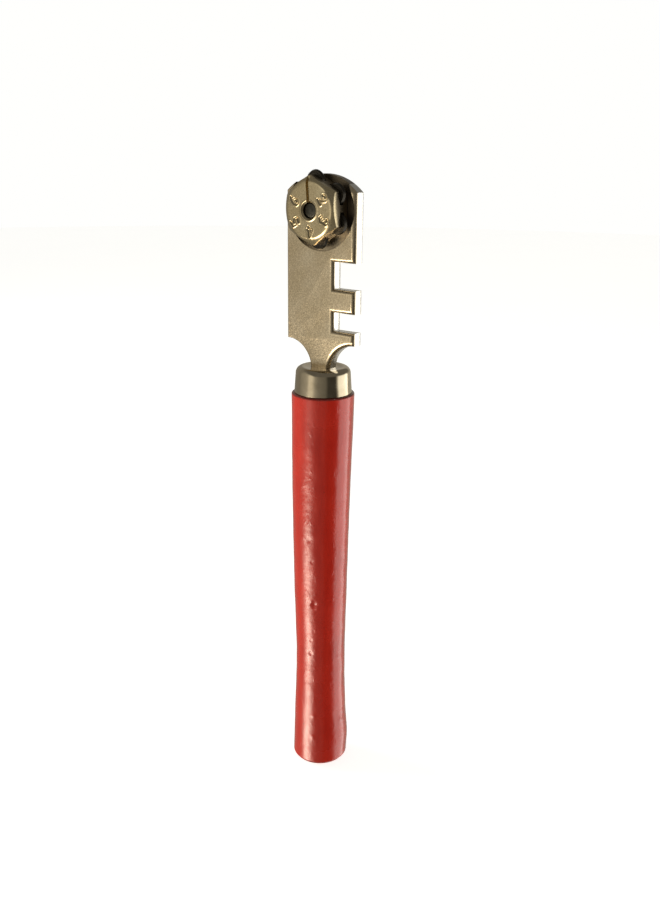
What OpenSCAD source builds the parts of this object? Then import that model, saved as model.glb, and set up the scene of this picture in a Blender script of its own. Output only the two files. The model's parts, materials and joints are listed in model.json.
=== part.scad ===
// Six-wheel glass cutter: a flat steel head with two breaking notches, an
// indexing turret that carries six cutting wheels, and a turned wooden handle.
// Millimetres. Z runs up the handle's axis from its butt end, and -Y is the
// numbered side of the turret.

/* [Overall] */
// Height of the working wheel's tip above the butt end
overall_length = 132; // [131:0.5:136]

/* [Head plate] */
// Width of the flat steel head
head_width = 16.5; // [16.1:0.1:18]
// Thickness of the steel head, neck and tang
plate_thickness = 2.8; // [2.6:0.1:3.2]
// How far the working wheel stands above the top of the head
wheel_standout = 0.8; // [0.5:0.05:1.1]
// Radius of the rounded top end of the head
top_arc_radius = 12; // [10:0.5:16]
// Height of the shoulders at the bottom of the wide part
shoulder_height = 98.6; // [98:0.1:99.5]
// Radius of the hollow curve from each shoulder to the neck
shoulder_radius = 5.7; // [5:0.1:5.8]
// Width of the neck and of the tang's upper end
neck_width = 4.5; // [4:0.1:4.6]
// Length of the tang inside the handle
tang_length = 28; // [15:1:40]
// Width of the tang's pointed end
tang_tip_width = 1.6; // [1:0.1:3]

/* [Breaking notches] */
// Depth of both notches from the edge of the head
notch_depth = 5.1; // [4:0.1:6]
// Height of the upper, larger notch
large_notch_height = 5.2; // [4.2:0.1:5.6]
// Height of the lower, smaller notch
small_notch_height = 3.65; // [2:0.05:4]
// Height of the small notch's lower wall above the butt end
small_notch_bottom = 101.2; // [100.5:0.1:101.5]
// Thickness of the tooth between the notches
tooth_height = 4.65; // [4:0.05:5]

/* [Turret] */
// Radius to the hexagon's corners
turret_corner_radius = 6.6; // [6.4:0.05:6.8]
// Distance of the numbered face in front of the plate's middle plane
turret_face = 5.2; // [5:0.1:5.6]
// Radius of the flat, round numbered face inside the bevel
turret_face_radius = 5.3; // [5.1:0.05:5.5]
// Slope of the bevel round the numbered face, in degrees
bevel_angle = 38; // [30:1:45]
// How far the turret is turned from having a wheel straight up, in degrees
turret_turn = 4.5; // [0:0.5:10]
// Radius of the round recess in the plate that the turret sits in
recess_radius = 7.9; // [7.7:0.05:8]
// Depth of that recess
recess_depth = 1; // [0.8:0.1:1.2]
// Width of the saw cut that marks the first wheel
mark_width = 0.65; // [0.4:0.05:0.8]
// Depth of that saw cut
mark_depth = 0.8; // [0.4:0.1:1]
// Height of the stamped numerals
numeral_height = 1.8; // [1.4:0.1:2]
// Depth of the stamped numerals
numeral_depth = 0.25; // [0.15:0.05:0.3]

/* [Cutting wheels] */
// Outer diameter of one cutting wheel
wheel_diameter = 4.2; // [4:0.1:4.3]
// Thickness of one cutting wheel
wheel_thickness = 1; // [0.8:0.05:1]
// Distance of the wheels' centres from the turret's axis
wheel_orbit = 5.4; // [5.3:0.05:5.45]
// Angle between the two bevels of a wheel's cutting edge, in degrees
edge_angle = 134; // [120:1:150]
// Radius of the pins that the wheels turn on
pin_radius = 0.5; // [0.4:0.05:0.5]
// Distance of the wheels' middle plane in front of the plate's middle plane
wheel_plane = 2.3; // [2.2:0.05:2.6]

/* [Pivot screw] */
// Radius of the screw's shank
shank_radius = 1.45; // [1.4:0.05:1.5]
// Radius of the screw's slotted head
screw_head_radius = 2.75; // [2.5:0.05:3]
// Height of the screw's head
screw_head_height = 2; // [1.6:0.1:2.2]
// Thickness of the flattened lock washer
washer_thickness = 0.8; // [0.5:0.1:0.8]

/* [Ferrule] */
// Height of the ferrule
ferrule_height = 5.4; // [5:0.1:6]
// Outer radius at the handle's shoulder
ferrule_base_radius = 5.95; // [5.8:0.05:6.1]
// Outer radius just below its rounded top
ferrule_top_radius = 5.65; // [5.4:0.05:5.8]
// Radius of the rounded top edge
ferrule_round = 1.3; // [0.6:0.1:1.6]

/* [Handle] */
// Height of the handle's shoulder above the butt end
handle_length = 88.1; // [86:0.1:88.5]
// Radius at the shoulder
handle_top_radius = 6.5; // [6.2:0.05:7]
// Smallest radius, at the waist
handle_waist_radius = 5.45; // [5.2:0.05:5.8]
// Height of the waist above the butt end
waist_height = 29; // [24:1:34]
// Radius of the flared butt end
handle_butt_radius = 6.1; // [5.9:0.05:6.5]
// Depth of the shallow dome on the butt end
butt_dome = 1.6; // [0.8:0.1:2]

/* [Hidden] */
WHEELS = 6;
$fn = 96;

// Colours
NICKEL = [0.67, 0.60, 0.48];
POLISHED = [0.74, 0.70, 0.62];
RED = [0.66, 0.12, 0.09];
TOOL_STEEL = [0.25, 0.24, 0.23];
BLACK = [0.17, 0.16, 0.14];

// Clearances: RUNNING is a turning fit, FACE keeps flat faces from rubbing
RUNNING = 0.05;
FACE = 0.05;
SIDE_PLAY = 0.08;
CUT = 1;               // how far a cutting tool runs past a surface

// Head
wheel_radius = wheel_diameter / 2;
turret_height = overall_length - wheel_radius - wheel_orbit * cos(turret_turn);
plate_top = overall_length - wheel_standout;
recess_floor = plate_thickness / 2 - recess_depth;
shoulder_centre_x = neck_width / 2 + shoulder_radius;
shoulder_centre_z = shoulder_height - shoulder_radius;
large_notch_bottom = small_notch_bottom + small_notch_height + tooth_height;

// Turret and wheels
turret_base = recess_floor + FACE;
boss_radius = 2.2;
boss_end = -plate_thickness / 2 + 0.2;
tapped_radius = shank_radius + RUNNING;
hole_bevel = 0.25;
pocket_radius = wheel_radius + 0.2;
pocket_width = wheel_thickness + 2 * SIDE_PLAY;
pin_front = wheel_plane + pocket_width / 2 + 1.1;

// Screw and washer, both behind the plate
washer_back = plate_thickness / 2 + FACE / 2 + washer_thickness;
head_seat = washer_back + FACE / 2;
screw_end = turret_face - 0.5;
washer_radius = 3.1;
washer_gap = 0.7;
driver_slot_width = 0.8;
driver_slot_depth = 0.85;

// Ferrule, handle and tang
ferrule_bore = ferrule_top_radius - 0.5;
ferrule_roof = 0.6;
spigot_top = handle_length + ferrule_height - ferrule_roof;
tang_bottom = handle_length - tang_length;
butt_edge = 0.5;

// Height of a circular dome of radius r and depth h at distance x from its axis
function dome(x, r, h) = let (big = (r * r + h * h) / (2 * h)) big - sqrt(big * big - x * x);

// Eases t from 0 to 1 with level ends
function ease(t) = (1 - cos(180 * t)) / 2;

// Radius of the handle at height z: an eased flare below the waist and a
// swelling taper above it
function swell(t) = (sin(90 * t) + t) / 2;
function handle_radius(z) = z < waist_height
    ? handle_butt_radius + (handle_waist_radius - handle_butt_radius) * ease(z / waist_height)
    : handle_waist_radius + (handle_top_radius - handle_waist_radius)
      * swell((z - waist_height) / (handle_length - waist_height));

// Strokes of the numerals 2 to 6 on a grid one wide and two high
NUMERALS = [
    [[0, 1.6], [0.2, 1.9], [0.5, 2], [0.85, 1.85], [1, 1.5], [0.8, 1.1], [0, 0], [1, 0]],
    [[0, 1.8], [0.5, 2], [0.95, 1.75], [0.9, 1.3], [0.4, 1.1], [0.9, 0.9], [1, 0.4], [0.5, 0], [0, 0.2]],
    [[0.7, 0], [0.7, 2], [0, 0.6], [1, 0.6]],
    [[0.95, 2], [0.15, 2], [0.05, 1.15], [0.6, 1.25], [1, 0.8], [0.9, 0.25], [0.5, 0], [0, 0.2]],
    [[0.85, 2], [0.35, 1.6], [0, 0.8], [0.15, 0.15], [0.55, 0], [0.95, 0.3], [0.9, 0.9],
     [0.5, 1.1], [0.1, 0.8]],
];
numeral_stroke = 0.32;
numeral_orbit = 3.9;

// Puts a shape drawn in the X-Y plane upright in the X-Z plane; its +Z faces the
// numbered side. facing() also moves it to the turret's axis.
module upright() rotate([90, 0, 0]) children();
module facing() translate([0, 0, turret_height]) upright() children();

// Places a child at wheel station i, with +Y pointing outwards
module at_station(i) facing() rotate(turret_turn - (i - 1) * 360 / WHEELS) children();

// A cylinder between two distances in front of the plate's middle plane
module disc(radius, from, to) translate([0, 0, from]) cylinder(r = radius, h = to - from);

// Outline of the blade, neck and shoulders, seen from the front
module blade_outline() {
    arc_centre = plate_top - top_arc_radius;
    neck_end = handle_length;
    difference() {
        intersection() {
            translate([-head_width / 2, neck_end]) square([head_width, plate_top - neck_end]);
            union() {
                translate([0, arc_centre]) circle(r = top_arc_radius);
                translate([-head_width / 2, neck_end]) square([head_width, arc_centre - neck_end]);
            }
        }
        for (side = [0, 1]) mirror([side, 0]) shoulder_cut(neck_end - CUT);
        translate([head_width / 2 - notch_depth, small_notch_bottom])
            square([notch_depth + CUT, small_notch_height]);
        translate([head_width / 2 - notch_depth, large_notch_bottom])
            square([notch_depth + CUT, large_notch_height]);
    }
}

// What is cut away beside the neck, on the +X side
module shoulder_cut(bottom) {
    translate([shoulder_centre_x, shoulder_centre_z]) circle(r = shoulder_radius);
    translate([neck_width / 2, bottom]) square([head_width, shoulder_centre_z - bottom]);
    translate([shoulder_centre_x, bottom]) square([head_width, shoulder_height - bottom]);
}

// Outline of the pointed tang below the neck
module tang_outline()
    polygon([[-neck_width / 2, handle_length], [-tang_tip_width / 2, tang_bottom],
             [tang_tip_width / 2, tang_bottom], [neck_width / 2, handle_length]]);

module plate_extrude() upright() linear_extrude(plate_thickness, center = true) children();

module head_plate() color(NICKEL) difference() {
    plate_extrude() {
        blade_outline();
        tang_outline();
    }
    facing() disc(recess_radius, recess_floor, plate_thickness);
    facing() disc(boss_radius + RUNNING, -plate_thickness, plate_thickness);
}

// Drawn metal cap over the handle's spigot, with a slot for the neck
module ferrule() color(POLISHED) difference() {
    translate([0, 0, handle_length]) rotate_extrude() difference() {
        union() {
            polygon([[0, 0], [ferrule_base_radius, 0],
                     [ferrule_top_radius, ferrule_height - ferrule_round],
                     [ferrule_top_radius - ferrule_round, ferrule_height], [0, ferrule_height]]);
            translate([ferrule_top_radius - ferrule_round, ferrule_height - ferrule_round])
                intersection() {
                    circle(r = ferrule_round);
                    square(ferrule_round);
                }
        }
        square([ferrule_bore, ferrule_height - ferrule_roof]);
    }
    translate([-neck_width / 2, -plate_thickness / 2, spigot_top - CUT])
        cube([neck_width, plate_thickness, ferrule_roof + 2 * CUT]);
}

// Turned wooden handle with a spigot for the ferrule and a slot for the tang
module handle() color(RED) difference() {
    rotate_extrude() union() {
        polygon(concat(
            [[0, 0]],
            [for (i = [1 : 6]) let (x = (handle_butt_radius - butt_edge) * i / 6)
                [x, dome(x, handle_butt_radius, butt_dome)]],
            [for (a = [15 : 25 : 90]) [handle_butt_radius - butt_edge * (1 - sin(a)),
                                       butt_dome + butt_edge * (1 - cos(a))]],
            [for (i = [1 : 24]) let (z = i * (handle_length - 0.4) / 24) if (z > butt_dome + butt_edge)
                [handle_radius(z), z]],
            [[handle_top_radius - 0.4, handle_length], [0, handle_length]]));
        translate([0, waist_height]) square([ferrule_bore, spigot_top - waist_height]);
    }
    plate_extrude() tang_outline();
    plate_extrude() translate([-neck_width / 2, handle_length - FACE]) square([neck_width, ferrule_height]);
}

// Cuts one numeral, drawn as straight strokes with round ends
module numeral(points) {
    size = numeral_height / 2;
    for (i = [0 : len(points) - 2]) let (a = points[i] * size, b = points[i + 1] * size, d = b - a) {
        translate(a) rotate(atan2(d.y, d.x)) translate([0, -numeral_stroke / 2])
            square([norm(d), numeral_stroke]);
        translate(a) circle(d = numeral_stroke, $fn = 16);
    }
    translate(points[len(points) - 1] * size) circle(d = numeral_stroke, $fn = 16);
}

// Hexagonal block with a bevelled face, a boss that turns in the plate, six
// wheel pockets and the pins' holes
module turret() color(NICKEL) difference() {
    union() {
        facing() rotate(90 + turret_turn) intersection() {
            translate([0, 0, turret_base])
                cylinder(r = turret_corner_radius, h = turret_face - turret_base, $fn = WHEELS);
            bevelled_blank();
        }
        facing() disc(boss_radius, boss_end, turret_base + FACE);
    }
    facing() disc(tapped_radius, -plate_thickness, turret_face + CUT);
    facing() translate([0, 0, turret_face - hole_bevel])
        cylinder(r1 = tapped_radius, r2 = tapped_radius + 2 * hole_bevel, h = 2 * hole_bevel);
    at_station(1) translate([-mark_width / 2, 0, turret_face - mark_depth])
        cube([mark_width, turret_corner_radius + CUT, mark_depth + CUT]);
    for (i = [1 : WHEELS]) at_station(i) translate([0, wheel_orbit, 0]) {
        disc(pocket_radius, wheel_plane - pocket_width / 2, wheel_plane + pocket_width / 2);
        disc(pin_radius, turret_base - CUT, pin_front);
    }
    for (i = [2 : WHEELS]) at_station(i)
        translate([-numeral_height / 4, numeral_orbit - numeral_height / 2, turret_face - numeral_depth])
            linear_extrude(numeral_depth + CUT) numeral(NUMERALS[i - 2]);
}

// Round blank whose cone makes the bevel round the numbered face
module bevelled_blank() {
    drop = (turret_corner_radius - turret_face_radius) * tan(bevel_angle);
    disc(turret_corner_radius + CUT, turret_base - CUT, turret_face - drop - CUT * tan(bevel_angle));
    translate([0, 0, turret_face - drop - CUT * tan(bevel_angle)])
        cylinder(r1 = turret_corner_radius + CUT, r2 = turret_face_radius,
                 h = drop + CUT * tan(bevel_angle));
}

// Hardened steel disc with a bevelled cutting edge
module cutting_wheel(i) color(TOOL_STEEL) {
    half = wheel_thickness / 2;
    rim = wheel_radius - half / tan(edge_angle / 2);
    bore = pin_radius + RUNNING;
    at_station(i) translate([0, wheel_orbit, wheel_plane]) rotate_extrude()
        polygon([[bore, -half], [rim, -half], [wheel_radius, 0], [rim, half], [bore, half]]);
}

module wheel_pin(i) color(BLACK)
    at_station(i) translate([0, wheel_orbit, 0]) disc(pin_radius, turret_base, pin_front);

// Slotted cheese-head screw; the last stretch of its shank is chamfered
module pivot_screw() color(BLACK) facing() difference() {
    union() {
        disc(screw_head_radius, -head_seat - screw_head_height, -head_seat);
        disc(shank_radius, -head_seat - FACE, screw_end - hole_bevel);
        translate([0, 0, screw_end - hole_bevel])
            cylinder(r1 = shank_radius, r2 = shank_radius - hole_bevel, h = hole_bevel);
    }
    translate([0, 0, -head_seat - screw_head_height])
        cube([2 * screw_head_radius + CUT, driver_slot_width, 2 * driver_slot_depth], center = true);
}

// Split spring washer, pressed flat
module lock_washer() color(BLACK) facing() difference() {
    disc(washer_radius, -washer_back, washer_thickness - washer_back);
    disc(shank_radius + 2 * RUNNING, -washer_back - CUT, washer_thickness);
    rotate([0, 0, 30]) translate([0, -washer_gap / 2, -washer_back - CUT])
        rotate([0, 0, -15]) cube([washer_radius + CUT, washer_gap, washer_thickness + 2 * CUT]);
}

head_plate();
ferrule();
handle();
turret();
for (i = [1 : WHEELS]) {
    cutting_wheel(i);
    wheel_pin(i);
}
pivot_screw();
lock_washer();
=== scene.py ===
import json
import math

import bmesh
import bpy
import numpy as np
from mathutils import Matrix, Vector, noise


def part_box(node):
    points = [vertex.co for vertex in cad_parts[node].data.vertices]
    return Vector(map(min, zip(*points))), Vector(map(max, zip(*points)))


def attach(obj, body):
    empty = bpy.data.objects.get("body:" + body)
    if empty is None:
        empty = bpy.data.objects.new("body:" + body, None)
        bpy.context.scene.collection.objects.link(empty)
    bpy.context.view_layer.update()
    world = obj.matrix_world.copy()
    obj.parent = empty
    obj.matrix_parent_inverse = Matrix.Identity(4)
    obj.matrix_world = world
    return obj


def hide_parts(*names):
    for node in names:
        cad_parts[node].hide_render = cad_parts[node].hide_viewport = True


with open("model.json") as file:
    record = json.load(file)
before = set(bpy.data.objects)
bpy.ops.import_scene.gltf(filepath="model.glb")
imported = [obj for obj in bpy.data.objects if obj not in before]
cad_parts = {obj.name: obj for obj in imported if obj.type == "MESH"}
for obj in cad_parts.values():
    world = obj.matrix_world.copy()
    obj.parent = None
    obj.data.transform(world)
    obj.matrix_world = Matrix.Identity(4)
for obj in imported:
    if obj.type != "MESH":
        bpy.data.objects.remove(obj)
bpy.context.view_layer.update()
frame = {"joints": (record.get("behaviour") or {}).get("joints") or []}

MM = 0.001
TAU = 2 * math.pi

# ---------------------------------------------------------------- sizes, in mm
# Places come from the frame; the sizes below are the CAD model's own.

JOINTS = {joint["name"]: joint for joint in frame["joints"]}
PLATE_LOW, PLATE_HIGH = (np.array(corner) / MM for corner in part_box("head_plate"))
TURRET_LOW, TURRET_HIGH = (np.array(corner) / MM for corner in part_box("turret"))
FERRULE_LOW, FERRULE_HIGH = (np.array(corner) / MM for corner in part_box("ferrule"))
HANDLE_HIGH = np.array(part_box("handle")[1]) / MM
SCREW_LOW, SCREW_HIGH = (np.array(corner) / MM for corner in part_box("pivot_screw"))
WASHER_LOW, WASHER_HIGH = (np.array(corner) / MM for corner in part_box("lock_washer"))

AXIS_Z = JOINTS["turret_turn"]["pos_m"][2] / MM
WHEELS = 6
TURN = math.radians(4.5)

HALF_WIDTH = PLATE_HIGH[0]
HALF_PLATE = PLATE_HIGH[1]
PLATE_TOP = PLATE_HIGH[2]
TOP_ARC = 12.0
SHOULDER_Z = 98.6
SHOULDER_R = 5.7
HALF_NECK = 2.25
TANG_TIP = 0.8
NOTCH_DEPTH = 5.1
NOTCHES = ((101.2, 104.85), (109.5, 114.7))
# Rounding of the front edges by the punch: on the right and on the left
PLATE_EDGE, LEFT_EDGE = 0.9, 0.3
RECESS_R = 7.9
RECESS_DEPTH = 1.0
BOSS_R = 2.2
RUNNING = 0.05

TURRET_CORNER = 6.6
TURRET_FACE = -TURRET_LOW[1]
TURRET_BASE = HALF_PLATE - RECESS_DEPTH + RUNNING
BOSS_END = -TURRET_HIGH[1]
FACE_R = 5.3
FACE_SOFTNESS = 0.15
BEVEL = math.radians(38)
TAPPED_R = 1.5
HOLE_BEVEL = 0.25
MARK_WIDTH, MARK_DEPTH = 0.65, 0.8
NUMERAL_SIZE, NUMERAL_ORBIT = 0.9, 3.9
NUMERAL_STROKE, NUMERAL_DEPTH = 0.34, 0.22

WHEEL_R, WHEEL_HALF = 2.1, 0.5
WHEEL_ORBIT, WHEEL_PLANE = 5.4, 2.3
PIN_R = 0.5
POCKET_R, POCKET_HALF = 2.3, 0.58
PIN_SEAT = 1.1
PIN_FRONT = WHEEL_PLANE + POCKET_HALF + PIN_SEAT

SHANK_R, SCREW_HEAD_HEIGHT, THREAD_PITCH = 1.45, 2.0, 0.5
SLOT_HALF, SLOT_DEPTH = 0.4, 0.85
WASHER_BORE_R = 1.55

SHOULDER_TOP = FERRULE_LOW[2]
FERRULE_BASE_R, FERRULE_TOP_R = FERRULE_HIGH[0], 5.65
FERRULE_HEIGHT = FERRULE_HIGH[2] - FERRULE_LOW[2]
FERRULE_ROUND = 1.3
FERRULE_BORE = 5.15
FERRULE_ROOF = 0.6
SPIGOT_TOP = HANDLE_HIGH[2]
TANG_BOTTOM = PLATE_LOW[2]

HANDLE_TOP_R = HANDLE_HIGH[0]
WAIST_R, WAIST_Z = 5.45, 29.0
BUTT_R, BUTT_DOME, BUTT_EDGE = 6.1, 1.6, 0.5

# Strokes of the numerals 2 to 6, on a grid one wide and two high
NUMERALS = (
    ((0, 1.6), (0.2, 1.9), (0.5, 2), (0.85, 1.85), (1, 1.5), (0.8, 1.1), (0, 0), (1, 0)),
    ((0, 1.8), (0.5, 2), (0.95, 1.75), (0.9, 1.3), (0.4, 1.1), (0.9, 0.9), (1, 0.4), (0.5, 0), (0, 0.2)),
    ((0.7, 0), (0.7, 2), (0, 0.6), (1, 0.6)),
    ((0.95, 2), (0.15, 2), (0.05, 1.15), (0.6, 1.25), (1, 0.8), (0.9, 0.25), (0.5, 0), (0, 0.2)),
    ((0.85, 2), (0.35, 1.6), (0, 0.8), (0.15, 0.15), (0.55, 0), (0.95, 0.3), (0.9, 0.9), (0.5, 1.1),
     (0.1, 0.8)),
)


# ------------------------------------------------------------------ mesh tools

def smoothstep(low, high, value):
    """0 below low, 1 above high and eased between, for numbers or arrays."""
    t = np.clip((value - low) / (high - low), 0.0, 1.0)
    return t * t * (3 - 2 * t)


def upright(points):
    """Points drawn with +Z facing the numbered side, put where the head is."""
    x, y, z = np.asarray(points, float).T
    return np.stack([x, -z, y + AXIS_Z], axis=-1)


def make_object(name, points, faces, sharp=35):
    """A mesh object from points in mm, smooth except at edges sharper than sharp degrees."""
    mesh = bpy.data.meshes.new(name)
    mesh.from_pydata([tuple(p) for p in np.asarray(points, float) * MM], [], faces)
    mesh.validate()
    thing = bpy.data.objects.new(name, mesh)
    bpy.context.scene.collection.objects.link(thing)
    repair(thing)
    shade(thing, sharp)
    return thing


def repair(thing):
    """Merges doubled points and turns every face outwards."""
    shell = bmesh.new()
    shell.from_mesh(thing.data)
    bmesh.ops.remove_doubles(shell, verts=shell.verts, dist=1e-7)
    bmesh.ops.dissolve_degenerate(shell, edges=shell.edges, dist=1e-8)
    bmesh.ops.recalc_face_normals(shell, faces=shell.faces)
    shell.to_mesh(thing.data)
    shell.free()


def shade(thing, sharp):
    """Smooth shading that breaks at edges sharper than sharp degrees."""
    thing.data.shade_smooth()
    thing.data.set_sharp_from_angle(angle=math.radians(sharp))


def grid_faces(rings, around, closed_ends=True):
    """Quads between rings of points, with an n-gon at each end if asked."""
    faces = []
    for i in range(rings - 1):
        for j in range(around):
            k = (j + 1) % around
            faces.append((i * around + j, i * around + k, (i + 1) * around + k, (i + 1) * around + j))
    if closed_ends:
        faces.append(tuple(range(around))[::-1])
        faces.append(tuple((rings - 1) * around + j for j in range(around)))
    return faces


def ring_faces(rings, around):
    """Quads round a closed loop of rings, such as a tube's outside and bore."""
    faces = grid_faces(rings, around, closed_ends=False)
    last = (rings - 1) * around
    for j in range(around):
        k = (j + 1) % around
        faces.append((last + j, last + k, k, j))
    return faces


def lathe_points(profile, around):
    """Rings of points round Z from (radius, height) pairs."""
    turns = np.arange(around) * TAU / around
    radius, height = np.array(profile, float).T
    x = radius[:, None] * np.cos(turns)
    y = radius[:, None] * np.sin(turns)
    z = np.repeat(height[:, None], around, axis=1)
    return np.stack([x, y, z], axis=-1).reshape(-1, 3)


def arc(centre, radius, start, end, steps):
    """(radius, height) pairs along an arc, with its angles in degrees."""
    turns = np.radians(np.linspace(start, end, steps))
    return [(centre[0] + radius * math.cos(a), centre[1] + radius * math.sin(a)) for a in turns]


def apply_modifiers(thing):
    """Bakes the modifiers of an object into its mesh."""
    with bpy.context.temp_override(object=thing, active_object=thing, selected_objects=[thing]):
        for modifier in list(thing.modifiers):
            bpy.ops.object.modifier_apply(modifier=modifier.name)


def cut(thing, cutters, sharp=35):
    """Subtracts the cutters from the object in one go and removes them."""
    tools = bpy.data.collections.new("cutters")
    for cutter in cutters:
        tools.objects.link(cutter)
    modifier = thing.modifiers.new("cut", "BOOLEAN")
    modifier.operation = "DIFFERENCE"
    modifier.solver = "EXACT"
    modifier.operand_type = "COLLECTION"
    modifier.collection = tools
    apply_modifiers(thing)
    for cutter in cutters:
        bpy.data.objects.remove(cutter, do_unlink=True)
    bpy.data.collections.remove(tools)
    shade(thing, sharp)


def prism(outline, low, high):
    """A prism of a convex or concave outline, between two heights along +Z."""
    count = len(outline)
    points = [(x, y, low) for x, y in outline] + [(x, y, high) for x, y in outline]
    return points, grid_faces(2, count)


def head_disc(name, centre, radius, low, high, around=96):
    """A cylinder on the head, facing the numbered side, for cutting."""
    turns = np.arange(around) * TAU / around
    outline = [(centre[0] + radius * math.cos(a), centre[1] + radius * math.sin(a)) for a in turns]
    points, faces = prism(outline, low, high)
    return make_object(name, upright(points), faces)


# -------------------------------------------------------------------- the head

def blade_outline():
    """The plate's outline seen from the front, anticlockwise from the neck's foot."""
    centre_x, centre_z = HALF_NECK + SHOULDER_R, SHOULDER_Z - SHOULDER_R
    right = [(HALF_NECK, SHOULDER_TOP)]
    right += arc((centre_x, centre_z), SHOULDER_R, 180, 90, 20)
    edge = [(HALF_WIDTH, SHOULDER_Z)]
    for bottom, top in NOTCHES:
        inner = HALF_WIDTH - NOTCH_DEPTH
        edge += [(HALF_WIDTH, bottom), (inner, bottom), (inner, top), (HALF_WIDTH, top)]
    lean = math.degrees(math.acos(HALF_WIDTH / TOP_ARC))
    roof = arc((0, PLATE_TOP - TOP_ARC), TOP_ARC, lean, 180 - lean, 36)
    left = [(-HALF_WIDTH, SHOULDER_Z)] + [(-x, z) for x, z in reversed(right)]
    tang = [(-TANG_TIP, TANG_BOTTOM), (TANG_TIP, TANG_BOTTOM)]
    return right + edge + roof + left + tang


def make_head_plate():
    """The flat steel stamping: rounded edges, a round recess and the pivot hole."""
    points, faces = prism(blade_outline(), -HALF_PLATE, HALF_PLATE)
    x, y, z = np.array(points).T
    plate = make_object("plate", np.stack([x, -z, y], axis=-1), faces)
    weights = plate.data.attributes.new("bevel_weight_edge", "FLOAT", "EDGE")
    corners = [vertex.co / MM for vertex in plate.data.vertices]
    for edge, weight in zip(plate.data.edges, weights.data):
        start, end = (corners[i] for i in edge.vertices)
        flat = abs(start.y - end.y) < 1e-6
        if flat and max(start.z, end.z) > SHOULDER_TOP:
            rolled = smoothstep(-4, 1, (start.x + end.x) / 2) if start.y < 0 else 0
            weight.value = (LEFT_EDGE + (PLATE_EDGE - LEFT_EDGE) * rolled) / PLATE_EDGE
    modifier = plate.modifiers.new("die_roll", "BEVEL")
    modifier.width = PLATE_EDGE * MM
    modifier.segments = 6
    modifier.limit_method = "WEIGHT"
    modifier.use_clamp_overlap = False
    apply_modifiers(plate)
    recess = head_disc("recess", (0, 0), RECESS_R, HALF_PLATE - RECESS_DEPTH, HALF_PLATE + 1, 160)
    hole = head_disc("hole", (0, 0), BOSS_R + RUNNING, -HALF_PLATE - 1, HALF_PLATE, 64)
    cut(plate, [recess, hole], sharp=30)
    return plate


# ------------------------------------------------------------------ the turret

def stroke_distance(x, y, points):
    """Distance from each place to the nearest of a numeral's strokes."""
    nearest = np.full(x.shape, 1e9)
    for start, end in zip(points[:-1], points[1:]):
        ax, ay = np.array(start) * NUMERAL_SIZE
        bx, by = np.array(end) * NUMERAL_SIZE
        dx, dy = bx - ax, by - ay
        along = np.clip(((x - ax) * dx + (y - ay) * dy) / (dx * dx + dy * dy), 0, 1)
        nearest = np.minimum(nearest, np.hypot(x - ax - along * dx, y - ay - along * dy))
    return nearest


def stamped(x, y):
    """Height lost to the stamped numerals, with a small lip pushed up round each."""
    lost = np.zeros(x.shape)
    for index, points in enumerate(NUMERALS):
        turn = TURN - (index + 1) * TAU / WHEELS
        across = x * math.cos(turn) + y * math.sin(turn) + NUMERAL_SIZE / 2
        out = -x * math.sin(turn) + y * math.cos(turn) - NUMERAL_ORBIT + NUMERAL_SIZE
        far = stroke_distance(across, out, points)
        lost += NUMERAL_DEPTH * (1 - smoothstep(0, NUMERAL_STROKE, far))
        lost -= 0.06 * np.exp(-(((far - NUMERAL_STROKE - 0.08) / 0.12) ** 2))
    lost -= 0.09 * np.exp(-(((np.hypot(x, y) - TAPPED_R - HOLE_BEVEL - 0.16) / 0.14) ** 2))
    return lost


def hexagon_radius(turns, rounding=70):
    """Radius of a hexagon with slightly rounded corners, one corner at turns = 0."""
    apothem = TURRET_CORNER * math.cos(math.pi / WHEELS)
    total = np.zeros(turns.shape)
    for k in range(WHEELS):
        facing = np.cos(turns - (k + 0.5) * TAU / WHEELS)
        total += np.where(facing > 0, np.abs(facing) / apothem, 0) ** rounding
    return total ** (-1 / rounding)


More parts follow.
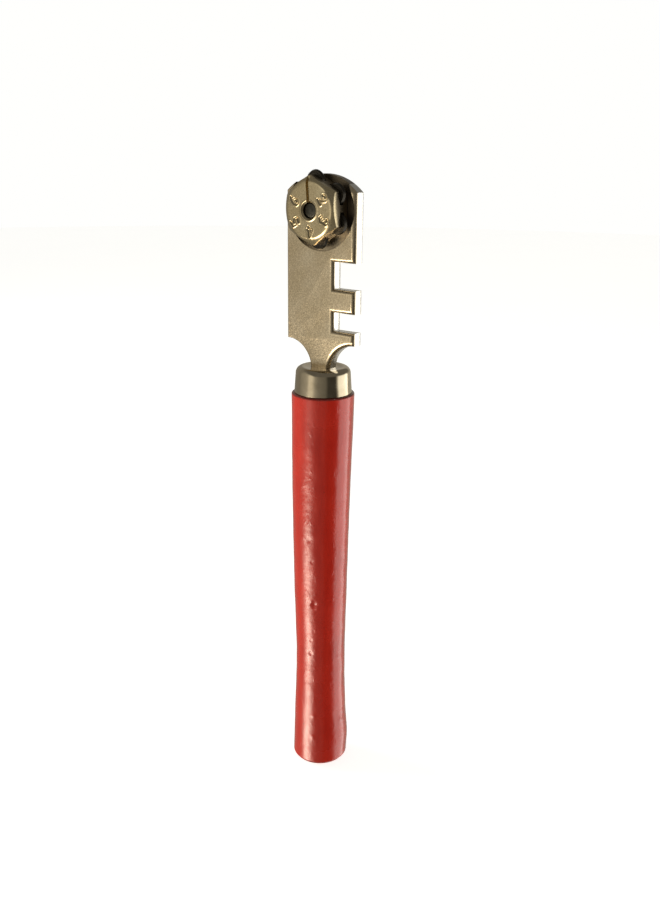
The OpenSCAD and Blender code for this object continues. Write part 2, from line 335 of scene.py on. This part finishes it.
def make_turret():
    """Hexagonal block: bevelled and stamped face, threaded hole, boss and pockets."""
    around = 480
    turns = np.arange(around) * TAU / around
    rim = hexagon_radius(turns)
    slope = math.tan(BEVEL)
    rings = []

    def ring(radius, height):
        """Adds a ring of points, round or hexagonal, at a height above the plate's middle."""
        radius = np.broadcast_to(radius, turns.shape)
        height = np.broadcast_to(height, turns.shape)
        angle = turns + math.pi / 2 + TURN
        x, y = radius * np.cos(angle), radius * np.sin(angle)
        rings.append(np.stack([x, y, height], axis=-1))

    def fall(radius):
        """Depth of the softly starting bevel below the face."""
        return slope * FACE_SOFTNESS * np.logaddexp(0, (radius - FACE_R) / FACE_SOFTNESS)

    ring(TAPPED_R, BOSS_END)
    ring(TAPPED_R, TURRET_FACE - HOLE_BEVEL)
    ring(TAPPED_R + HOLE_BEVEL * 0.9, TURRET_FACE - 0.03)
    for radius in np.linspace(TAPPED_R + HOLE_BEVEL + 0.03, FACE_R, 60):
        angle = turns + math.pi / 2 + TURN
        lost = stamped(radius * np.cos(angle), radius * np.sin(angle))
        ring(radius, TURRET_FACE - fall(radius) - lost)
    for share in (0.03, 0.08, 0.15, 0.25, 0.4, 0.55, 0.7, 0.88, 0.97):
        radius = FACE_R + (rim - FACE_R) * share
        ring(radius, TURRET_FACE - fall(radius))
    edge = TURRET_FACE - fall(rim)
    ring(rim, edge - 0.05)
    for share in np.linspace(0.2, 0.9, 4):
        ring(rim, edge + (TURRET_BASE + 0.15 - edge) * share)
    ring(rim, TURRET_BASE + 0.15)
    ring(rim - 0.15, TURRET_BASE)
    ring(BOSS_R, TURRET_BASE)
    ring(BOSS_R, BOSS_END + 0.15)
    ring(BOSS_R - 0.15, BOSS_END)
    block = make_object("turret_block", upright(np.concatenate(rings)), ring_faces(len(rings), around))

    cutters = []
    for index in range(WHEELS):
        turn = TURN - index * TAU / WHEELS
        centre = (-WHEEL_ORBIT * math.sin(turn), WHEEL_ORBIT * math.cos(turn))
        cutters.append(head_disc("pocket", centre, POCKET_R, WHEEL_PLANE - POCKET_HALF,
                                 WHEEL_PLANE + POCKET_HALF))
        cutters.append(head_disc("pin_hole", centre, PIN_R, TURRET_BASE - 1, PIN_FRONT, 48))
    half = MARK_WIDTH / 2
    across = [(-half, 0), (half, 0), (half, TURRET_CORNER + 1), (-half, TURRET_CORNER + 1)]
    slit = [(x * math.cos(TURN) - y * math.sin(TURN), x * math.sin(TURN) + y * math.cos(TURN))
            for x, y in across]
    points, faces = prism(slit, TURRET_FACE - MARK_DEPTH, TURRET_FACE + 1)
    cutters.append(make_object("mark", upright(points), faces))
    cut(block, cutters, sharp=28)
    return block


# ---------------------------------------------------------- wheels and fasteners

def on_head(profile, around, centre=(0, 0)):
    """A turned piece whose axis faces the numbered side, on the head."""
    points = lathe_points(profile, around)
    points[:, 0] += centre[0]
    points[:, 1] += centre[1]
    return upright(points)


def station(index):
    """Centre of wheel number index + 1, seen from the front of the turret."""
    turn = TURN - index * TAU / WHEELS
    return -WHEEL_ORBIT * math.sin(turn), WHEEL_ORBIT * math.cos(turn)


def make_wheel(index):
    """Hardened disc: two ground bevels meet at a keen edge, and the bore is broken."""
    rim = WHEEL_R - WHEEL_HALF / math.tan(math.radians(67))
    bore = PIN_R + RUNNING
    profile = [(bore, -0.42), (bore + 0.08, -0.5), (1.45, -0.5), (1.5, -0.46), (1.6, -0.46), (1.65, -0.5),
               (rim, -WHEEL_HALF), (WHEEL_R - 0.01, -0.03), (WHEEL_R, 0), (WHEEL_R - 0.01, 0.03),
               (rim, WHEEL_HALF), (1.65, 0.5), (1.6, 0.46), (1.5, 0.46), (1.45, 0.5),
               (bore + 0.08, 0.5), (bore, 0.42)]
    profile = [(r, h + WHEEL_PLANE) for r, h in profile]
    points = on_head(profile, 96, station(index))
    return make_object(f"wheel_disc_{index + 1}", points, ring_faces(len(profile), 96))


def make_pin(index):
    """Straight pin with broken ends."""
    low, high = TURRET_BASE, PIN_FRONT
    profile = [(0.38, low), (PIN_R, low + 0.12), (PIN_R, high - 0.12), (0.38, high)]
    points = on_head(profile, 40, station(index))
    return make_object(f"axle_pin_{index + 1}", points, grid_faces(len(profile), 40))


def make_screw():
    """Slotted cheese-head screw with a cut thread."""
    head_low, end = -SCREW_HIGH[1], -SCREW_LOW[1]
    head_high = head_low + SCREW_HEAD_HEIGHT
    radius, around = SCREW_HIGH[0], 48
    profile = [(radius - 0.25, head_low), (radius - 0.08, head_low + 0.06), (radius, head_low + 0.25),
               (radius, head_high - 0.1), (radius - 0.1, head_high), (SHANK_R, head_high)]
    rings = [lathe_points([pair], around) for pair in profile]
    turns = np.arange(around) * TAU / around
    for height in np.arange(head_high + 0.2, end - 0.02, THREAD_PITCH / 12):
        wave = np.abs(((height / THREAD_PITCH - turns / TAU) % 1) * 2 - 1)
        run_in = min(1, (height - head_high) / 0.8) * min(1, (end - height) / 0.25)
        shaft = SHANK_R - 0.22 * wave * run_in - 0.2 * max(0, 1 - (end - height) / 0.25)
        x, y = shaft * np.cos(turns), shaft * np.sin(turns)
        rings.append(np.stack([x, y, np.full(around, height)], axis=-1))
    rings.append(lathe_points([(1.15, end)], around))
    screw = make_object("slotted_screw", upright(np.concatenate(rings)), grid_faces(len(rings), around))
    slot = [(-4, -SLOT_HALF), (4, -SLOT_HALF), (4, SLOT_HALF), (-4, SLOT_HALF)]
    points, faces = prism(slot, head_low - 1, head_low + SLOT_DEPTH)
    cut(screw, [make_object("slot", upright(points), faces)], sharp=28)
    return screw


def make_washer():
    """Split spring washer: square section with soft corners and an angled gap."""
    low, high = -WASHER_HIGH[1], -WASHER_LOW[1]
    inner, outer, around, gap = WASHER_BORE_R, WASHER_HIGH[0], 120, math.radians(12)
    corner = 0.1
    section = [(inner + corner, low), (outer - corner, low), (outer, low + corner), (outer, high - corner),
               (outer - corner, high), (inner + corner, high), (inner, high - corner), (inner, low + corner)]
    points = []
    for step in range(around + 1):
        for radius, height in section:
            lean = 0.35 * (height - (low + high) / 2)
            turn = math.radians(30) + gap / 2 + (TAU - gap) * step / around + lean / radius
            points.append((radius * math.cos(turn), radius * math.sin(turn), height))
    return make_object("spring_washer", upright(points), grid_faces(around + 1, len(section)))


# ----------------------------------------------------------- ferrule and handle

def make_ferrule():
    """Drawn cap: rolled lip, slight taper, rounded top edge, dished roof and slot."""
    base, top = SHOULDER_TOP, SHOULDER_TOP + FERRULE_HEIGHT
    around = 192
    knee = FERRULE_TOP_R - FERRULE_ROUND
    profile = [(FERRULE_BORE, base), (FERRULE_BASE_R - 0.15, base)]
    profile += arc((FERRULE_BASE_R - 0.15, base + 0.15), 0.15, -60, 0, 4)
    profile += [(FERRULE_BASE_R, base + 0.3), (FERRULE_BASE_R - 0.06, base + 0.55)]
    for share in np.linspace(0.1, 1, 16):
        profile.append((FERRULE_BASE_R - 0.06 + (FERRULE_TOP_R + 0.06 - FERRULE_BASE_R) * share,
                        base + 0.55 + (FERRULE_HEIGHT - FERRULE_ROUND - 0.55) * share))
    profile += arc((knee, top - FERRULE_ROUND), FERRULE_ROUND, 8, 90, 12)
    profile += [(knee - 0.5, top - 0.04), (knee - 1.1, top - 0.12), (2.9, top - 0.16), (1.2, top - 0.16)]
    profile += [(0.4, top - 0.16), (0.4, top - FERRULE_ROOF), (1.2, top - FERRULE_ROOF)]
    profile += [(FERRULE_BORE - 0.3, top - FERRULE_ROOF), (FERRULE_BORE, top - FERRULE_ROOF - 0.3)]
    points = lathe_points(profile, around)
    for point in points:
        if math.hypot(point[0], point[1]) > FERRULE_BORE + 0.05:
            swell = 1 + 0.004 * noise.noise(Vector(point) * 0.35)
            point[0] *= swell
            point[1] *= swell
    cap = make_object("ferrule_cap", points, ring_faces(len(profile), around))
    half_x, half_y = HALF_NECK + 0.02, HALF_PLATE + 0.02
    slot = [(-half_x, -half_y), (half_x, -half_y), (half_x, half_y), (-half_x, half_y)]
    points, faces = prism(slot, top - 1.5, top + 1)
    cut(cap, [make_object("slot", points, faces)], sharp=30)
    return cap


def handle_radius(z):
    """Radius of the turned handle: an eased flare below the waist, a swelling taper above."""
    if z < WAIST_Z:
        return BUTT_R + (WAIST_R - BUTT_R) * (1 - math.cos(math.pi * z / WAIST_Z)) / 2
    t = (z - WAIST_Z) / (SHOULDER_TOP - WAIST_Z)
    return WAIST_R + (HANDLE_TOP_R - WAIST_R) * (math.sin(math.pi / 2 * t) + t) / 2


# Small knocks in the lacquer: height, bearing in degrees from the front, size, depth
NICKS = (
    (41.9, 22, 0.6, 0.20), (41.0, 29, 0.4, -0.09), (42.6, 16, 0.35, -0.06), (29.7, 12, 0.5, 0.12),
    (28.2, 82, 0.5, -0.08), (57, 12, 0.5, 0.05), (52, 18, 0.4, 0.05), (14, 22, 0.6, -0.09),
    (8.5, 20, 0.5, -0.08), (33, 14, 0.35, 0.06), (7, 118, 4.0, -0.30), (12, 88, 0.6, -0.10),
    (45, 190, 0.6, 0.08), (22, 250, 0.7, 0.07), (66, 300, 0.5, 0.06),
)


def make_handle():
    """Turned wooden grip under thick lacquer, slightly bowed, lumpy and knocked."""
    around = 256
    profile = [(BUTT_R * 0.02, 0.0)]
    big = (BUTT_R ** 2 + BUTT_DOME ** 2) / (2 * BUTT_DOME)
    for share in np.linspace(0.06, 0.92, 14):
        x = BUTT_R * share
        profile.append((x, big - math.sqrt(big * big - x * x)))
    profile += arc((BUTT_R - BUTT_EDGE, BUTT_DOME + BUTT_EDGE), BUTT_EDGE, -66, 0, 8)
    heights = np.arange(BUTT_DOME + BUTT_EDGE + 0.25, SHOULDER_TOP - 0.45, 0.25)
    profile += [(handle_radius(z), z) for z in heights]
    profile += arc((HANDLE_TOP_R - 0.4, SHOULDER_TOP - 0.4), 0.4, 10, 90, 7)
    profile += [(FERRULE_BORE + 0.3, SHOULDER_TOP), (FERRULE_BORE, SHOULDER_TOP)]
    profile += [(FERRULE_BORE, SPIGOT_TOP - 0.3), (FERRULE_BORE - 0.3, SPIGOT_TOP), (0.3, SPIGOT_TOP)]
    points = lathe_points(profile, around)
    x, y, z = points.T
    radius = np.hypot(x, y)
    lump = np.array([0.07 * noise.noise(Vector(p) * 0.12 + Vector((3, 5, 1)))
                     + 0.035 * noise.noise(Vector(p) * 0.35 + Vector((9, 1, 4)))
                     + 0.012 * noise.noise(Vector(p) * 1.1) for p in points])
    for height, bearing, size, depth in NICKS:
        angle = math.radians(bearing)
        gap = np.sqrt((x - radius * math.sin(angle)) ** 2 + (y + radius * math.cos(angle)) ** 2
                      + (z - height) ** 2) / size
        lump -= depth * np.exp(-gap * gap)
    fade = np.clip((SHOULDER_TOP - z) / 6, 0, 1) * np.clip(radius / BUTT_R, 0, 1)
    bow = -0.2 * np.exp(-(((z - 56) / 22) ** 2)) * fade
    scale = 1 + (lump - 0.03) * fade / np.maximum(radius, 0.5)
    points[:, 0] = x * scale + bow * math.cos(CAMERA_AZIMUTH)
    points[:, 1] = y * scale + bow * math.sin(CAMERA_AZIMUTH)
    return make_object("handle_grip", points, grid_faces(len(profile), around), sharp=60)


# ------------------------------------------------------------------- materials

class Recipe:
    """A node material under construction: node() adds a node and wires its inputs."""

    def __init__(self, name):
        self.material = bpy.data.materials.new(name)
        self.material.use_nodes = True
        self.tree = self.material.node_tree
        self.shader = self.tree.nodes["Principled BSDF"]
        self.place = self.node("ShaderNodeTexCoord").outputs["Object"]
        self.facing = self.node("ShaderNodeTexCoord").outputs["Normal"]

    def node(self, kind, inputs=None, **settings):
        made = self.tree.nodes.new(kind)
        for key, value in settings.items():
            setattr(made, key, value)
        for key, value in (inputs or {}).items():
            if hasattr(value, "is_output"):
                self.tree.links.new(value, made.inputs[key])
            else:
                made.inputs[key].default_value = value
        return made

    def noise(self, size, detail=3.0, rough=0.55, stretch=(1, 1, 1)):
        """Noise whose features are about size mm across."""
        place = self.node("ShaderNodeMapping", {"Vector": self.place, "Scale": stretch}).outputs[0]
        return self.node("ShaderNodeTexNoise", {"Vector": place, "Scale": 1 / (size * MM),
                                                "Detail": detail, "Roughness": rough}).outputs["Fac"]

    def ramp(self, factor, *stops):
        """A colour ramp from (position, colour) stops."""
        made = self.node("ShaderNodeValToRGB", {"Fac": factor})
        while len(made.color_ramp.elements) < len(stops):
            made.color_ramp.elements.new(0.5)
        for element, (position, colour) in zip(made.color_ramp.elements, stops):
            element.position = position
            element.color = (*colour, 1)
        return made.outputs["Color"]

    def span(self, factor, low, high, new_low, new_high):
        """Maps a factor from one range to another, clamped."""
        return self.node("ShaderNodeMapRange", {"Value": factor, "From Min": low, "From Max": high,
                                                "To Min": new_low, "To Max": new_high}).outputs[0]

    def sum(self, first, second):
        return self.node("ShaderNodeMath", {0: first, 1: second}, operation="ADD").outputs[0]

    def times(self, first, second):
        return self.node("ShaderNodeMath", {0: first, 1: second}, operation="MULTIPLY").outputs[0]

    def mix(self, factor, first, second, kind="MIX"):
        made = self.node("ShaderNodeMix", data_type="RGBA", blend_type=kind)
        for index, value in ((0, factor), (6, first), (7, second)):
            if hasattr(value, "is_output"):
                self.tree.links.new(value, made.inputs[index])
            else:
                made.inputs[index].default_value = value if index == 0 else (*value, 1)
        return made.outputs[2]

    def bump(self, height, distance, strength=1.0, normal=None):
        """A bump whose full height is distance mm."""
        inputs = {"Height": height, "Distance": distance * MM, "Strength": strength}
        if normal is not None:
            inputs["Normal"] = normal
        return self.node("ShaderNodeBump", inputs).outputs["Normal"]

    def set(self, **values):
        for key, value in values.items():
            socket = self.shader.inputs[key.replace("_", " ")]
            if hasattr(value, "is_output"):
                self.tree.links.new(value, socket)
            else:
                socket.default_value = value


def nickel_satin(name, tint, grit, sheared_and_highlight_amount, oil_and_shade_mask):
    """Nickel plate over tumbled steel: lumps, specks, greasy dirt with painted shade and, if asked, pale
    sheared edges with a painted highlight.
    """
    make = Recipe(name)
    broad = make.noise(5.0, 3)
    fine = make.noise(0.5, 4, 0.6)
    pits = make.noise(0.22, 2)
    warm, mid, pale = (0.64, 0.52, 0.35), (0.71, 0.59, 0.42), (0.78, 0.67, 0.50)
    colour = make.ramp(broad, (0.3, warm), (0.55, mid), (0.8, pale))
    colour = make.mix(1.0, colour, make.ramp(pits, (0.36, (0.80, 0.79, 0.77)), (0.5, (0.93, 0.93, 0.92)),
                                             (0.66, (1.07, 1.07, 1.06))), "MULTIPLY")
    colour = make.mix(1.0, colour, tint, "MULTIPLY")
    facing = make.node("ShaderNodeSeparateXYZ", {"Vector": make.facing}).outputs["Y"]
    # Sheared edges made paler on the sides, also a painted highlight that lifts their reflection to white.
    sheared_and_highlight = make.span(make.times(facing, facing), 0.10, 0.02, 0.0, sheared_and_highlight_amount)
    colour = make.mix(sheared_and_highlight, colour, (0.93, 0.90, 0.84))
    # Greasy dirt and painted shade: dark brown where the mask says, in the shadowed recess and on the
    # turret's flats.
    oil_and_shade = oil_and_shade_mask(make)
    colour = make.mix(oil_and_shade, colour, (0.16, 0.130, 0.093))
    bumps = make.bump(fine, 0.045 * grit, 0.7)
    bumps = make.bump(pits, 0.016 * grit, 0.6, bumps)
    rough = make.sum(make.span(fine, 0.3, 0.7, 0.19, 0.30), make.times(oil_and_shade, 0.22))
    make.set(Base_Color=colour, Metallic=1.0, Roughness=rough, Normal=bumps)
    return make.material


def oil_and_shade_in_recess(make):
    """How much greasy dirt and painted shade the plate gets: only inside the recess, on its upper and right
    sides.
    """
    x, y, z = make.node("ShaderNodeSeparateXYZ", {"Vector": make.place}).outputs
    up = make.sum(z, -AXIS_Z * MM)
    squared = make.sum(make.times(x, x), make.times(up, up))
    inside = make.span(squared, ((RECESS_R + 0.1) * MM) ** 2, (RECESS_R * MM) ** 2, 0.0, 1.0)
    deep = make.span(y, -1.38 * MM, -1.0 * MM, 0.0, 1.0)
    front = make.span(y, 1.3 * MM, 1.1 * MM, 0.0, 1.0)
    side = make.span(make.sum(make.times(x, 0.6), make.times(up, 0.8)), -6 * MM, 2 * MM, 0.3, 0.85)
    return make.times(make.times(inside, deep), make.times(front, side))


def oil_and_shade_on_flats(make):
    """How much greasy dirt and painted shade the turret gets: on its flat sides, behind the bevelled face.
    """
    y = make.node("ShaderNodeSeparateXYZ", {"Vector": make.place}).outputs["Y"]
    return make.span(y, -4.45 * MM, -3.5 * MM, 0.0, 0.8)


def nickel_bright():
    """Polished nickel: thin polishing lines, a few soft stains."""
    make = Recipe("nickel_bright")
    stain = make.noise(2.2, 4)
    lines = make.noise(0.3, 2, stretch=(0.15, 0.15, 2.5))
    colour = make.ramp(stain, (0.3, (0.50, 0.42, 0.29)), (0.7, (0.62, 0.53, 0.38)))
    make.set(Base_Color=colour, Metallic=1.0, Roughness=make.span(stain, 0.3, 0.75, 0.08, 0.17),
             Normal=make.bump(lines, 0.004, 0.5))
    return make.material


def red_lacquer():
    """Thick red lacquer on turned wood: grain telegraphs through, dust specks, rubbed spots and painted
    shade under the ferrule.
    """
    make = Recipe("red_lacquer")
    grain = make.noise(1.4, 4, 0.6, stretch=(1, 1, 0.12))
    cloud = make.noise(7.0, 3)
    specks = make.noise(0.5, 2)
    colour = make.ramp(cloud, (0.3, (0.68, 0.022, 0.009)), (0.7, (0.82, 0.034, 0.015)))
    streak = make.ramp(grain, (0.35, (0.60, 0.014, 0.006)), (0.7, (0.92, 0.05, 0.022)))
    colour = make.mix(0.25, colour, streak)
    dark = make.span(specks, 0.70, 0.78, 0.0, 0.5)
    colour = make.mix(dark, colour, (0.12, 0.02, 0.01))
    height = make.node("ShaderNodeSeparateXYZ", {"Vector": make.place}).outputs["Z"]
    # Painted shade with some dirt: a dark band round the top of the handle, just under the ferrule.
    dirt_and_shade_under_ferrule = make.span(height, (SHOULDER_TOP - 0.45) * MM, (SHOULDER_TOP - 0.1) * MM, 0.0, 0.85)
    colour = make.mix(dirt_and_shade_under_ferrule, colour, (0.035, 0.006, 0.004))
    swell = make.bump(make.noise(3.0, 3), 0.09, 0.5)
    swell = make.bump(make.noise(0.9, 3), 0.018, 0.5, swell)
    blister = make.span(make.noise(1.2, 2, stretch=(1, 1, 0.6)), 0.58, 0.70, 0.0, 1.0)
    swell = make.bump(blister, 0.030, 0.6, swell)
    streaks = make.bump(make.noise(0.7, 3, stretch=(1, 1, 0.25)), 0.012, 0.6, swell)
    make.set(Base_Color=colour, Roughness=make.span(cloud, 0.3, 0.7, 0.20, 0.32), Normal=streaks,
             Coat_Weight=0.6, Coat_Roughness=0.09, Coat_Tint=(1.0, 0.93, 0.84, 1.0), Coat_Normal=swell)
    return make.material


def tool_steel():
    """Ground hardened steel, dark, with a fine ground sheen."""
    make = Recipe("tool_steel")
    grind = make.noise(0.12, 3)
    colour = make.ramp(grind, (0.3, (0.035, 0.030, 0.024)), (0.75, (0.085, 0.076, 0.062)))
    make.set(Base_Color=colour, Metallic=1.0, Roughness=make.span(grind, 0.3, 0.7, 0.22, 0.4),
             Normal=make.bump(grind, 0.006, 0.5))
    return make.material


def black_oxide():
    """Blackened steel fastener: oily dark grey, cloudy, lightly pitted."""
    make = Recipe("black_oxide")
    cloud = make.noise(0.9, 4)
    fine = make.noise(0.16, 3)
    colour = make.ramp(cloud, (0.3, (0.045, 0.042, 0.034)), (0.7, (0.10, 0.095, 0.078)))
    make.set(Base_Color=colour, Metallic=1.0, Roughness=make.span(cloud, 0.3, 0.7, 0.28, 0.45),
             Normal=make.bump(fine, 0.012, 0.6))
    return make.material


def pale_floor():
    """Bright white studio sweep: glows so that only a contact shadow shows on it."""
    make = Recipe("pale_floor")
    mottle = make.noise(60.0, 2)
    colour = make.ramp(mottle, (0.3, (0.90, 0.90, 0.885)), (0.7, (0.93, 0.93, 0.915)))
    make.set(Base_Color=colour, Roughness=0.9, Emission_Color=(1.0, 1.0, 0.985, 1.0),
             Emission_Strength=0.80)
    return make.material


def place(piece, material, body, slot, *nodes):
    """Gives a piece its material and body and hides the nodes that it stands for; the slot argument is not
    used.
    """
    piece.data.materials.clear()
    piece.data.materials.append(material)
    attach(piece, body)
    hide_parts(*nodes)


# -------------------------------------------------------------- camera and light

CAMERA_AZIMUTH = math.radians(36.01)
CAMERA_ELEVATION = math.radians(18.26)
CAMERA_ROLL = math.radians(0.67)
CAMERA_DISTANCE = 193.06
CAMERA_TARGET = (1.94, 0.0, 75.77)
CAMERA_LENS = 36.9


def direction(azimuth, elevation):
    """Unit vector from the object: azimuth 0 is the front, 90 degrees the notches' side."""
    level = math.cos(elevation)
    return Vector((math.sin(azimuth) * level, -math.cos(azimuth) * level, math.sin(elevation)))


def make_camera():
    """The viewing angle: close, right of the front and a little above."""
    away = direction(CAMERA_AZIMUTH, CAMERA_ELEVATION)
    across = Vector((math.cos(CAMERA_AZIMUTH), math.sin(CAMERA_AZIMUTH), 0))
    up = away.cross(across)
    right = across * math.cos(CAMERA_ROLL) + up * math.sin(CAMERA_ROLL)
    upward = up * math.cos(CAMERA_ROLL) - across * math.sin(CAMERA_ROLL)
    camera = bpy.data.objects.new("camera", bpy.data.cameras.new("camera"))
    camera.data.lens = CAMERA_LENS
    camera.data.clip_start = 0.005
    frame_of = Matrix((right, upward, away)).transposed().to_4x4()
    place_of = (Vector(CAMERA_TARGET) + away * CAMERA_DISTANCE) * MM
    camera.matrix_world = Matrix.Translation(place_of) @ frame_of
    bpy.context.scene.collection.objects.link(camera)
    bpy.context.scene.camera = camera


def softbox(name, azimuth, elevation, distance, width, height, power):
    """A rectangular area light that faces the object and shows in no reflection."""
    lamp = bpy.data.lights.new(name, "AREA")
    lamp.shape = "RECTANGLE"
    lamp.size, lamp.size_y = width, height
    lamp.energy = power
    lamp.color = (1.0, 0.95, 0.84)
    box = bpy.data.objects.new(name, lamp)
    away = direction(math.radians(azimuth), math.radians(elevation))
    box.location = Vector((0, 0, 0.07)) + away * distance
    box.rotation_euler = away.to_track_quat("Z", "Y").to_euler()
    box.visible_camera = False
    box.visible_glossy = False
    bpy.context.scene.collection.objects.link(box)


# Brightness of the studio's walls by azimuth in degrees, from back left once round
WALLS = ((-140, 0.27), (-74, 0.27), (-60, 0.36), (-42, 0.45), (-31, 0.56), (-22, 1.0), (-10, 0.95),
         (4, 0.42), (16, 0.26), (46, 0.17), (56, 0.06), (90, 0.06), (96, 0.4), (104, 1.6), (130, 1.8),
         (143, 2.3), (151, 2.5), (157, 0.5), (216, 0.42), (220, 0.27))
CEILING = 0.16
# How high the left wall reaches, as the slope of its top
LEFT_RISE = 0.75
# A bright patch low down that mainly the lower handle mirrors, by azimuth and by the ray's drop
STRIP_AZIMUTH, STRIP_SPREAD, STRIP = -23, 16, 11.5
STRIP_TOP, STRIP_FULL, STRIP_END = -0.35, -0.53, -0.68


def make_world():
    """A pale studio: white to the camera, walls of uneven brightness and a dark ceiling to the rest."""
    world = bpy.data.worlds.new("studio")
    world.use_nodes = True
    bpy.context.scene.world = world
    tree = world.node_tree
    nodes, links = tree.nodes, tree.links

    def math_node(operation, *values):
        made = nodes.new("ShaderNodeMath")
        made.operation = operation
        for socket, value in zip(made.inputs, values):
            if hasattr(value, "is_output"):
                links.new(value, socket)
            else:
                socket.default_value = value
        return made.outputs[0]

    def fade(value, start, end, height):
        made = nodes.new("ShaderNodeMapRange")
        for key, number in (("From Min", start), ("From Max", end), ("To Min", 0.0), ("To Max", height)):
            made.inputs[key].default_value = number
        links.new(value, made.inputs["Value"])
        return made.outputs[0]

    way = nodes.new("ShaderNodeTexCoord").outputs["Generated"]
    parts = nodes.new("ShaderNodeSeparateXYZ")
    links.new(way, parts.inputs[0])
    x, y, z = parts.outputs
    bearing = math_node("ARCTAN2", x, math_node("MULTIPLY", y, -1.0))
    first = WALLS[0][0]
    share = math_node("WRAP", math_node("ADD", math_node("DIVIDE", bearing, TAU), -first / 360), 1.0, 0.0)
    walls = nodes.new("ShaderNodeValToRGB")
    stops = walls.color_ramp.elements
    while len(stops) < len(WALLS):
        stops.new(0.5)
    top = max(value for _, value in WALLS)
    for element, (azimuth, value) in zip(stops, WALLS):
        element.position = (azimuth - first) / 360
        level = value / top
        tint = (1.0, 0.955, 0.84) if value < 1.5 else (1.0, 1.0, 0.97)
        element.color = (level, level * tint[1], level * tint[2], 1)
    links.new(share, walls.inputs["Fac"])
    left = math_node("MAXIMUM", math_node("MULTIPLY", x, -LEFT_RISE), 0.0)
    up = fade(math_node("SUBTRACT", z, left), 0.02, 0.30, 1.0)
    both = nodes.new("ShaderNodeMix")
    both.data_type = "RGBA"
    links.new(up, both.inputs[0])
    links.new(walls.outputs["Color"], both.inputs[6])
    both.inputs[7].default_value = (CEILING / top, CEILING / top * 0.97, CEILING / top * 0.9, 1)
    low = fade(z, STRIP_TOP, STRIP_FULL, STRIP / top)
    cut_off = fade(z, STRIP_END - 0.1, STRIP_END, 1.0)
    off = math_node("SUBTRACT", bearing, math.radians(STRIP_AZIMUTH))
    off = math_node("DIVIDE", off, math.radians(STRIP_SPREAD))
    spread = math_node("EXPONENT", math_node("MULTIPLY", math_node("MULTIPLY", off, off), -1.0))
    glow = math_node("MULTIPLY", spread, math_node("MULTIPLY", low, cut_off))
    warm = nodes.new("ShaderNodeVectorMath")
    warm.operation = "SCALE"
    warm.inputs[0].default_value = (1.0, 0.90, 0.76)
    links.new(glow, warm.inputs["Scale"])
    total = nodes.new("ShaderNodeVectorMath")
    total.operation = "ADD"
    links.new(both.outputs[2], total.inputs[0])
    links.new(warm.outputs[0], total.inputs[1])
    lit = nodes["Background"]
    lit.inputs["Strength"].default_value = top
    links.new(total.outputs[0], lit.inputs["Color"])
    white = nodes.new("ShaderNodeBackground")
    white.inputs["Color"].default_value = (1.0, 1.0, 0.985, 1)
    white.inputs["Strength"].default_value = 1.0
    seen = nodes.new("ShaderNodeLightPath").outputs["Is Camera Ray"]
    either = nodes.new("ShaderNodeMixShader")
    links.new(seen, either.inputs[0])
    links.new(lit.outputs[0], either.inputs[1])
    links.new(white.outputs[0], either.inputs[2])
    links.new(either.outputs[0], nodes["World Output"].inputs["Surface"])


def make_floor():
    """Plain pale floor that the butt end stands on."""
    around = 96
    points = lathe_points([(1, 0), (200, 0), (1500, 0)], around)
    floor = make_object("floor", points, grid_faces(3, around, closed_ends=False) + [tuple(range(around))])
    floor.data.materials.append(pale_floor())
    floor.visible_glossy = False
    floor.visible_diffuse = False


# -------------------------------------------------------------------- the scene

plate_metal = nickel_satin("nickel_satin", (0.97, 0.96, 0.93), 0.75, 1.0, oil_and_shade_in_recess)
turret_metal = nickel_satin("nickel_olive", (0.90, 0.89, 0.78), 0.35, 0.0, oil_and_shade_on_flats)
bright, lacquer = nickel_bright(), red_lacquer()
steel, black = tool_steel(), black_oxide()
root = "head_and_handle"
place(make_head_plate(), plate_metal, root, "nickel_plate", "head_plate")
place(make_ferrule(), bright, root, "polished_nickel", "ferrule")
place(make_handle(), lacquer, root, "red_paint", "handle")
place(make_turret(), turret_metal, "turret", "nickel_plate", "turret")
for index in range(WHEELS):
    number = index + 1
    place(make_wheel(index), steel, f"cutting_wheel_{number}", "hard_steel", f"cutting_wheel_{number}")
    place(make_pin(index), black, "turret", "black_steel", f"wheel_pin_{number}")
place(make_screw(), black, "pivot_screw", "black_steel", "pivot_screw")
place(make_washer(), black, "lock_washer", "black_steel", "lock_washer")

make_camera()
make_world()
make_floor()
softbox("fill", -68, 8, 0.6, 0.3, 0.4, 2.8)
softbox("front", 30, 15, 0.6, 0.4, 0.4, 0.35)
softbox("window", 112, 2, 0.7, 0.35, 0.6, 1.2)
bpy.context.scene.view_settings.view_transform = "Standard"
